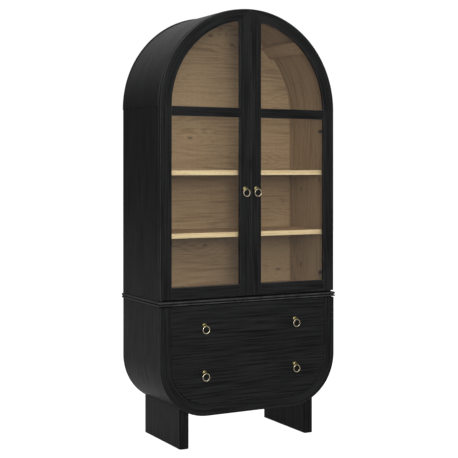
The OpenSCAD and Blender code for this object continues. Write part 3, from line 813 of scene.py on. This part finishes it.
def slab_leg(side):
    """One leg, drawn in a little at the foot and scribed to the shell at the top."""
    node = side + "_leg"
    low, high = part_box(node)
    plan = []
    for px, py, start in ((high.x, low.y, -90), (high.x, high.y, 0), (low.x, high.y, 90),
                          (low.x, low.y, 180)):
        ox = px - leg_round if px == high.x else px + leg_round
        oy = py + leg_round if py == low.y else py - leg_round
        for k in range(leg_steps + 1):
            a = math.radians(start + 90 * k / leg_steps)
            plan.append((ox + leg_round * math.cos(a), oy + leg_round * math.sin(a)))
    bm = new_bmesh()
    layer = bm.loops.layers.uv["board"]
    start = next_board()
    middle = Vector(((low.x + high.x) / 2, (low.y + high.y) / 2))

    def drawn_in(p, by):
        """A point of the plan, moved towards the middle of the leg."""
        away = Vector(p) - middle
        return (p[0] - math.copysign(by, away.x), p[1] - math.copysign(by, away.y))

    levels = [[(*drawn_in(p, foot_in), low.z) for p in plan],
              [(*drawn_in(p, foot_in * foot_turn), low.z + foot_in * foot_turn) for p in plan],
              [(*p, low.z + foot_in) for p in plan],
              [(*p, corner_z - math.sqrt(corner_r ** 2 - (abs(p[0]) - corner_x) ** 2)) for p in plan]]
    rings = [[bm.verts.new(p) for p in level] for level in levels]
    round_run = running(plan + plan[:1])
    for lower, upper in zip(rings, rings[1:]):
        for i in range(len(plan)):
            k = (i + 1) % len(plan)
            face = bm.faces.new((lower[i], lower[k], upper[k], upper[i]))
            ends = (round_run[i], round_run[i + 1], round_run[i + 1], round_run[i])
            for loop, run in zip(face.loops, ends):
                loop[layer].uv = (loop.vert.co.z + start.x, run + start.y)
    for ring in (rings[0], rings[-1]):
        face = bm.faces.new(ring)
        for loop in face.loops:
            loop[layer].uv = (loop.vert.co.y + start.x, loop.vert.co.x + start.y)
    finish_piece(node + "_slab", bm, *in_black, [node], 32)


slab_leg("left")
slab_leg("right")


def plastic(name, dark, light, rough):
    """Moulded nylon with a fine even texture."""
    made, tree, shader = bare_material(name)
    place = add(tree, "ShaderNodeTexCoord")
    grit = add(tree, "ShaderNodeTexNoise", {"Scale": 900.0, "Detail": 2.0})
    cloud = add(tree, "ShaderNodeTexNoise", {"Scale": 40.0, "Detail": 3.0})
    bump = add(tree, "ShaderNodeBump", {"Strength": 0.2, "Distance": 0.0002})
    colour = blended(tree, ramped(tree, cloud.outputs["Fac"], 0.3, 0.7), dark, light)
    dull = ramped(tree, cloud.outputs["Fac"], 0.3, 0.7, rough - 0.05, rough + 0.08)
    join(tree, (place.outputs["Object"], grit.inputs["Vector"]),
         (place.outputs["Object"], cloud.inputs["Vector"]), (colour, shader.inputs["Base Color"]),
         (dull, shader.inputs["Roughness"]), (grit.outputs["Fac"], bump.inputs["Height"]),
         (bump.outputs["Normal"], shader.inputs["Normal"]))
    return made


dress("foot_glides", plastic("nylon", *nylon_colours, rough=0.55))
dress("leg_bolts", zinc)

# ---- Turned fastenings ---------------------------------------------------
# Small pan-head screws: on the wall bracket, along the edges of the two back
# panels, on the hinge arms and their plates, and at the back of each pull.
dress("wall_bracket", zinc)


def turned_into(bm, centre, axis, profile, sides=20):
    """Adds a turned shape to bm: profile is (radius, distance along axis) from the foot up."""
    axis = Vector(axis).normalized()
    across = axis.orthogonal().normalized()
    other = axis.cross(across)
    rings = []
    for radius, rise in profile:
        at = Vector(centre) + axis * rise
        if radius < 1e-6:
            rings.append([bm.verts.new(at)])
            continue
        turns = [2 * math.pi * k / sides for k in range(sides)]
        rings.append([bm.verts.new(at + radius * (across * math.cos(a) + other * math.sin(a)))
                      for a in turns])
    for lower, upper in zip(rings, rings[1:]):
        for k in range(sides):
            n = (k + 1) % sides
            if len(lower) == 1:
                bm.faces.new((lower[0], upper[k], upper[n]))
            elif len(upper) == 1:
                bm.faces.new((lower[k], lower[n], upper[0]))
            else:
                bm.faces.new((lower[k], lower[n], upper[n], upper[k]))
    for ring in (rings[0], rings[-1]):
        if len(ring) > 2:
            bm.faces.new(ring)


def pan_head(bm, at, axis, r):
    """A pan-head screw with a round driver recess."""
    turned_into(bm, at, axis, [(r * 0.96, 0), (r, r * 0.12), (r * 0.9, r * 0.42), (r * 0.62, r * 0.60),
                               (r * 0.40, r * 0.62), (r * 0.34, r * 0.30), (0, r * 0.24)])


def screws(name, places, axis, r, body):
    """A group of like screws on one body."""
    bm = new_bmesh()
    for at in places:
        pan_head(bm, at, axis, r)
    return finish_piece(name, bm, zinc, "zinc_steel", body)


plate_low, plate_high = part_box("wall_bracket")
plate_mid = (plate_low + plate_high) / 2
bracket_screw_x, bracket_screw_r = 0.020, 0.0042
screws("bracket_screws", [(x, plate_high.y, plate_mid.z) for x in (-bracket_screw_x, bracket_screw_x)],
       (0, 1, 0), bracket_screw_r, "cabinet")

panel_screw_gap, panel_screw_r = 0.012, 0.0034
screw_line = inner_r - panel_screw_gap
around = [(s * screw_line, z) for s in (-1, 1) for z in np.linspace(back_low.z + 0.12, spring_z - 0.15, 4)]
around += [(screw_line * math.cos(a), spring_z + screw_line * math.sin(a))
           for a in np.linspace(math.radians(12), math.radians(168), 7)]
screws("back_panel_screws", [(x, back_high.y, z) for x, z in around], (0, 1, 0), panel_screw_r, "cabinet")
low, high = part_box("lower_back_panel")
edge_points = tub(lower_skin + panel_screw_gap, high.z)
screws("lower_back_screws", [(edge_points[i][0], high.y, edge_points[i][1]) for i in (1, 20, 40, 41, 62, 80)]
       + [(s * (high.x - panel_screw_gap), high.y, high.z - 0.05) for s in (-1, 1)], (0, 1, 0),
       panel_screw_r, "cabinet")

# ---- Concealed hinges ----------------------------------------------------
# Bought-in hinges in black nickel: a stamped arm on a plate screwed to the
# lining, and a drawn cup let into the outer stile of the door.
nickel = metal("black_nickel", (0.035, 0.035, 0.038, 1), (0.075, 0.075, 0.08, 1), rough=0.36, spread=0.08,
               streak=(60, 60, 900))
door_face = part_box("right_outer_stile")[0].y
door_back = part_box("right_outer_stile")[1].y
arm_low, arm_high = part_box("hinge_arms")
plate_half_h, arm_half_h, nose_half_h = 0.024, 0.008, 0.006
hinge_zs = (arm_low.z + plate_half_h, arm_high.z - plate_half_h)
arm_out, arm_plate = 0.018, 0.003
arm_screw_r, plate_screw_r = 0.0042, 0.0036
sign = {"left": -1, "right": 1}


def hinge_arm(side, label, z, replaces):
    """One arm: its plate, the arm on it, the nose in the cup, and its screws."""
    s = sign[side]
    bm = new_bmesh()

    def piece(x_in, x_out, y0, y1, half_h, arris):
        """A block between two distances out from the lining."""
        xs = sorted((s * (inner_r - x_in), s * (inner_r - x_out)))
        box_into(bm, (xs[0], y0, z - half_h), (xs[1], y1, z + half_h), arris)

    y0 = door_back + 0.004
    y1 = arm_high.y
    piece(arm_plate, 0, y0 + 0.020, y1 - 0.008, plate_half_h, 0.0008)
    piece(arm_out, arm_plate, y0, y1, arm_half_h, 0.0022)
    piece(arm_out, arm_out - 0.007, door_back - 0.0025, y0 + 0.002, nose_half_h, 0.001)
    face = s * (inner_r - arm_out)
    for y in (y0 + 0.014, y0 + 0.038):
        pan_head(bm, (face - s * 0.0002, y, z), (s, 0, 0), arm_screw_r)
    for dz in (-0.017, 0.017):
        pan_head(bm, (s * (inner_r - arm_plate), y1 - 0.022, z + dz), (-s, 0, 0), plate_screw_r)
    finish_piece(f"{side}_{label}_hinge_arm", bm, nickel, "dark_steel", "cabinet", replaces)


for side in ("left", "right"):
    hinge_arm(side, "lower", hinge_zs[0], ["hinge_arms"] if side == "left" else ())
    hinge_arm(side, "upper", hinge_zs[1], ())
    dress(side + "_hinge_cups", nickel)

# ---- Door frames ---------------------------------------------------------
# Each door is a frame of black oak: an outer stile, an arched rail bent over
# the top, a straight meeting stile mitred into it, a bottom rail and a muntin.
stile_low, stile_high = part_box("right_outer_stile")
half_w = stile_high.x
pane_r = stile_low.x
door_z0 = stile_low.z
meeting_low, meeting_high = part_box("right_meeting_stile")
gap_half, meeting_x = meeting_low.x, meeting_high.x
pane_z0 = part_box("right_bottom_rail")[1].z
lip = 0.008
rabbet = 0.010
door_arris = 0.0014
mitre_past = 0.003
arch_points = 49
cup_r, cup_depth, cup_edge = 0.0175, 0.012, 0.005
drill_start, drill_sides = 0.002, 40
crown_z = spring_z + shell_r
lip_y = door_face + lip


def mitre_line(back):
    """The mitre of the meeting stile, from the corner of the opening out past the top."""
    x = meeting_x - back
    r = pane_r + back
    corner = Vector((x, spring_z + math.sqrt(r * r - x * x)))
    return corner, Vector((gap_half + mitre_past, crown_z + mitre_past))


def mitre_angle(radius, back):
    """The angle on the arch, at a radius, where the mitre crosses it."""
    a, b = mitre_line(back)
    p, d = Vector((a.x, a.y - spring_z)), b - a
    qa, qb, qc = d.dot(d), 2 * p.dot(d), p.dot(p) - radius * radius
    t = (-qb + math.sqrt(qb * qb - 4 * qa * qc)) / (2 * qa)
    at = p + d * t
    return math.atan2(at.y, at.x)


def hand(side, outline):
    """The outline mirrored for the left door."""
    return lambda inset: [(sign[side] * x, z) for x, z in outline(inset)]


def arch_rail(inset):
    """The arched rail's outline, from its foot on the outer stile to the mitre."""
    radius = half_w - inset
    stop = mitre_angle(radius, 0)
    return [(radius * math.cos(a), spring_z + radius * math.sin(a))
            for a in np.linspace(0, stop, arch_points)]


def straight_stile(x_outer, z0, z1, way):
    """An upright whose section runs from x_outer in the direction way."""
    return lambda inset: [(x_outer + way * inset, z0), (x_outer + way * inset, z1)]


def meeting_stile(inset):
    """The meeting stile's outline, from its foot to the mitre."""
    x = gap_half + inset
    a, b = mitre_line(0)
    t = (a.x - x) / (a.x - b.x)
    top = a.y + (b.y - a.y) * t
    edge_of_arch = spring_z + math.sqrt(half_w ** 2 - x * x)
    return [(x, door_z0), (x, min(top, edge_of_arch))]


def frame_section(width):
    """A stile's section: a front lip of the full width, and a rabbet behind it."""
    return rounded([(0, door_face, door_arris), (width, door_face, door_arris), (width, lip_y, 0),
                    (width - rabbet, lip_y, 0), (width - rabbet, door_back, 0), (0, door_back, door_arris)])


def meeting_section():
    """The meeting stile's section, with a line where its top leaves the arch for the mitre."""
    a, b = mitre_line(0)
    away = Vector((a.x, a.y - spring_z))
    step = b - a
    half_b = away.dot(step)
    root = math.sqrt(half_b ** 2 - step.dot(step) * (away.dot(away) - half_w ** 2))
    share = (-half_b + root) / step.dot(step)
    leave = a.x + step.x * share - gap_half
    width = meeting_x - gap_half
    return rounded([(0, door_face, door_arris), (leave, door_face, 0), (width, door_face, door_arris),
                    (width, lip_y, 0), (width - rabbet, lip_y, 0), (width - rabbet, door_back, 0),
                    (leave, door_back, 0), (0, door_back, door_arris)])


def rail_across(side, name, top, section, marks, replaces, body):
    """A rail between the stiles. Its section's inset is its height under top."""
    s = sign[side]
    sweep(name, lambda inset: [(s * meeting_x, top - inset), (s * pane_r, top - inset)], section, marks,
          black_oak, "black_oak", body, replaces)


def round_hole(piece, at, radius, depth):
    """Drills a blind hole into the back of a piece, at (x, z)."""
    bm = bmesh.new()
    turned_into(bm, (at[0], door_back + drill_start, at[1]), (0, -1, 0),
                [(radius, 0), (radius, depth + drill_start)], drill_sides)
    bmesh.ops.recalc_face_normals(bm, faces=bm.faces)
    mesh = bpy.data.meshes.new("drill")
    bm.to_mesh(mesh)
    bm.free()
    drill = bpy.data.objects.new("drill", mesh)
    scene.collection.objects.link(drill)
    cut = piece.modifiers.new("hole", "BOOLEAN")
    cut.operation, cut.solver, cut.object = "DIFFERENCE", "EXACT", drill
    piece.modifiers.move(len(piece.modifiers) - 1, 0)
    bpy.context.view_layer.update()
    held = piece.modifiers["even_normals"]
    held.show_viewport = False
    solid = bpy.data.meshes.new_from_object(piece.evaluated_get(bpy.context.evaluated_depsgraph_get()))
    held.show_viewport = True
    piece.modifiers.remove(cut)
    piece.data = solid
    bpy.data.objects.remove(drill)


# The two section points where the meeting stile's top changes slope.
leave_points = (3, 10)
for side in ("left", "right"):
    body = side + "_door"
    section, marks = frame_section(half_w - pane_r)
    piece = sweep(side + "_outer_stile_wood", hand(side, straight_stile(half_w, door_z0, spring_z, -1)),
                  section, marks, black_oak, "black_oak", body, [side + "_outer_stile"])
    cup_x = sign[side] * (half_w - cup_edge - cup_r)
    for z in hinge_zs:
        round_hole(piece, (cup_x, z), cup_r, cup_depth)
    sweep(side + "_arch_rail_wood", hand(side, arch_rail), section, marks, black_oak, "black_oak", body,
          [side + "_arch_rail"])
    section, marks = meeting_section()
    sweep(side + "_meeting_stile_wood", hand(side, meeting_stile), section, marks, black_oak, "black_oak",
          body, [side + "_meeting_stile"], fold=leave_points)
    rail_h0 = pane_z0 - door_z0
    section, marks = rounded([(0, door_face, door_arris), (0, lip_y, 0), (rabbet, lip_y, 0),
                              (rabbet, door_back, 0), (rail_h0, door_back, door_arris),
                              (rail_h0, door_face, door_arris)])
    rail_across(side, side + "_bottom_rail_wood", pane_z0, section, marks, [side + "_bottom_rail"], body)
    bar_low, bar_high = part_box(side + "_muntin")
    bar_h = bar_high.z - bar_low.z
    section, marks = rounded([(0, door_face, door_arris), (0, bar_high.y, 0), (bar_h, bar_high.y, 0),
                              (bar_h, door_face, door_arris)])
    rail_across(side, side + "_muntin_wood", bar_high.z, section, marks, [side + "_muntin"], body)

# ---- Glass and its bead --------------------------------------------------
# One clear pane in each door, set in the rabbet from behind and held by a
# loop of black beading with a rounded inner edge.
glass, tree, shader = bare_material("clear_glass")
preset(shader, {"Base Color": (0.985, 0.995, 0.99, 1), "Roughness": 0.0, "IOR": 1.45,
                "Specular IOR Level": 0.18, "Transmission Weight": 1.0})
smear_at = add(tree, "ShaderNodeTexCoord")
smear = add(tree, "ShaderNodeTexNoise", {"Scale": 3.0, "Detail": 1.0})
wave = add(tree, "ShaderNodeBump", {"Strength": 0.02, "Distance": 0.0004})
through = add(tree, "ShaderNodeBsdfTransparent")
rays = add(tree, "ShaderNodeLightPath")
either = sums(tree, "MAXIMUM", rays.outputs["Is Shadow Ray"], rays.outputs["Is Diffuse Ray"])
choose = add(tree, "ShaderNodeMixShader")
shown = tree.nodes["Material Output"]
join(tree, (smear_at.outputs["Object"], smear.inputs["Vector"]),
     (smear.outputs["Fac"], wave.inputs["Height"]), (wave.outputs["Normal"], shader.inputs["Normal"]),
     (either, choose.inputs[0]), (shader.outputs[0], choose.inputs[1]),
     (through.outputs[0], choose.inputs[2]), (choose.outputs[0], shown.inputs["Surface"]))
for side in ("left", "right"):
    dress(side + "_glass", glass)


def pane(grow):
    """The right door's glass opening, grown outwards, as a closed outline."""
    r, x0, z0 = pane_r + grow, meeting_x - grow, pane_z0 - grow
    stop = math.acos(x0 / r)
    return [(x0, z0), (r, z0)] + [(r * math.cos(a), spring_z + r * math.sin(a))
                                  for a in np.linspace(0, stop, arch_points)]


bead_low, bead_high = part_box("right_glass_bead")
section, marks = rounded([(rabbet, bead_low.y, 0), (0, bead_low.y, 0.0008), (0, bead_high.y, 0.0045),
                          (rabbet, bead_high.y, 0.0004)], 4)
for side in ("left", "right"):
    sweep(side + "_glass_beading", hand(side, pane), section, [False] * len(marks), black_oak, "black_oak",
          side + "_door", [side + "_glass_bead"], closed=True, smooth=30)

# ---- Ring pulls ----------------------------------------------------------
# Cast and turned brass, aged to a pale gold: a rosette on the face, a short
# post, an eye at its end, and a round wire ring that hangs free in the eye.
cast_grain = (300, 300, 300)
brass = metal("antique_brass", (0.68, 0.58, 0.38, 1), (0.93, 0.83, 0.60, 1), rough=0.28, spread=0.08,
              streak=cast_grain)
# The rosettes, posts and eyes take a darkened copy of the brass: painted shade for the dim reflection their
# faces show, not a different metal.
brass_painted_shade = metal("brass_painted_shade", (0.13, 0.112, 0.05, 1), (0.26, 0.225, 0.105, 1), rough=0.40, spread=0.08,
                  streak=cast_grain)
ring_low, ring_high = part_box("right_pull_ring")
wire_r = (ring_high.y - ring_low.y) / 2
ring_r = (ring_high.x - ring_low.x) / 2 - wire_r
post_low, post_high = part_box("right_pull_post")
rosette_r = (post_high.x - post_low.x) / 2
rosette_rise = post_high.z - rosette_r - (ring_low.z + ring_high.z) / 2
reach = door_face - (ring_low.y + ring_high.y) / 2
eye_r, eye_half, eye_hole = 0.0055, 0.003, 0.0024
# The eye's section, as (share of the way from its hole to its rim, share of its half thickness).
eye_section = ((0, 0.62), (0.18, 0.9), (0.45, 1.0), (0.8, 0.8), (1.0, 0.35), (1.0, -0.35), (0.8, -0.8),
               (0.45, -1.0), (0.18, -0.9), (0, -0.62))
wire_flat, wire_full = 0.018, 0.982
pull_screw_r = 0.0032


def ring_wire(name, node, body):
    """The ring, a closed loop of round wire with the faint flats of its forming."""
    low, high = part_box(node)
    middle = (low + high) / 2
    bm = new_bmesh()
    turns, sides = 72, 18
    rings = []
    for i in range(turns):
        a = 2 * math.pi * i / turns
        thick = wire_r * (1 - wire_flat * (1 + math.cos(5 * a + 1.0)))
        loop = []
        for k in range(sides):
            b = 2 * math.pi * k / sides
            away = ring_r + thick * math.cos(b)
            if math.cos(b) > 0:
                away = ring_r + wire_r * wire_full - thick + thick * math.cos(b)
            loop.append(bm.verts.new((middle.x + away * math.cos(a), middle.y + thick * math.sin(b),
                                      middle.z + away * math.sin(a))))
        rings.append(loop)
    for i in range(turns):
        for k in range(sides):
            near, far, n = rings[i], rings[(i + 1) % turns], (k + 1) % sides
            bm.faces.new((near[k], far[k], far[n], near[n]))
    finish_piece(name, bm, brass, "antique_brass", body, [node], 60)


def pull_post(bm, x, z):
    """Adds the rosette, post and eye of the ring whose centre hangs at x, z."""
    mm = 0.001
    face = (x, door_face, z + rosette_rise)
    turned_into(bm, face, (0, -1, 0), [(rosette_r, 0), (rosette_r, 0.9 * mm),
                                       (rosette_r - 0.5 * mm, 1.5 * mm), (rosette_r - 1.5 * mm, 1.7 * mm),
                                       (rosette_r - 2.1 * mm, 2.6 * mm), (rosette_r - 3.2 * mm, 3.2 * mm),
                                       (5.6 * mm, 4.0 * mm), (4.2 * mm, 4.8 * mm), (0, 5.0 * mm)], 48)
    stem = (x, door_face - 0.004, z + rosette_rise)
    turned_into(bm, stem, (0, -1, 0), [(3.5 * mm, 0), (2.9 * mm, 2 * mm), (2.6 * mm, 5 * mm),
                                       (3.1 * mm, 8 * mm), (3.4 * mm, reach - 7 * mm)], 24)
    hole_z = z + ring_r
    eye_z = hole_z + 1.6 * mm
    steps = 40
    loops = []
    for i in range(steps):
        a = 2 * math.pi * i / steps
        inner = Vector((0, -reach + door_face + eye_hole * math.cos(a), hole_z + eye_hole * math.sin(a)))
        outer = Vector((0, -reach + door_face + eye_r * math.cos(a), eye_z + eye_r * math.sin(a)))
        loop = []
        for share, half in eye_section:
            at = inner.lerp(outer, share)
            loop.append(bm.verts.new((x + half * eye_half, at.y, at.z)))
        loops.append(loop)
    for i in range(steps):
        near, far = loops[i], loops[(i + 1) % steps]
        for k in range(len(near)):
            n = (k + 1) % len(near)
            bm.faces.new((near[k], far[k], far[n], near[n]))


def middle_of(node):
    """The middle of a node's box."""
    low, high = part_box(node)
    return (low + high) / 2


for side in ("left", "right"):
    body = side + "_door"
    at = middle_of(side + "_pull_ring")
    bm = new_bmesh()
    pull_post(bm, at.x, at.z)
    finish_piece(side + "_pull_rosette", bm, brass_painted_shade, "antique_brass", body, [side + "_pull_post"], 50)
    ring_wire(side + "_pull_ring_wire", side + "_pull_ring", side + "_pull_ring")
    screws(side + "_pull_screw", [(at.x, door_back, at.z + rosette_rise)], (0, 1, 0),
           pull_screw_r, body)

# ---- Drawer --------------------------------------------------------------
# A deep box of pale oak boards on side slides, behind one flush black front
# that follows the round corners of the case. Four ring pulls are screwed on.
front_low, front_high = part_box("drawer_front")
front_inset = half_lower - front_high.x
front_arris, box_arris = 0.0007, 0.001
prism("drawer_front_board", tub(front_inset, front_high.z), front_low.y, front_high.y, grain_across,
      front_arris, black_oak, "black_oak", "drawer", ["drawer_front"])
box_oak = wood("drawer_oak", (0.36, 0.255, 0.145, 1), (0.56, 0.425, 0.265, 1), pale_wear_highlight, band_width=0.016,
               swirl=1.2, knots=0.05, fibre_share=0.45, rough=0.5, gloss=0.22)
for node, way in (("drawer_left_side", 1), ("drawer_right_side", 1), ("drawer_back", 0),
                  ("drawer_bottom", 0)):
    board(node + "_board", *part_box(node), way, box_oak, "pale_oak", "drawer", [node], box_arris)
bm = new_bmesh()
drawer_rings = [f"{level}_{side}_drawer_ring" for level in ("upper", "lower") for side in ("left", "right")]
for node in drawer_rings:
    at = middle_of(node)
    pull_post(bm, at.x, at.z)
    ring_wire(node + "_wire", node, node)
finish_piece("drawer_pull_rosettes", bm, brass_painted_shade, "antique_brass", "drawer", ["drawer_pull_posts"], 50)
screws("drawer_pull_screws", [(middle_of(node).x, front_high.y, middle_of(node).z + rosette_rise)
                              for node in drawer_rings], (0, 1, 0), pull_screw_r, "drawer")

# ---- Drawer slides -------------------------------------------------------
# Rolled steel channels, zinc plated, nested three deep on each side: a rail on
# the upright, a middle member that follows, and a runner on the drawer.
for node in ("slide_rails", "slide_middles", "slide_runners"):
    dress(node, zinc)
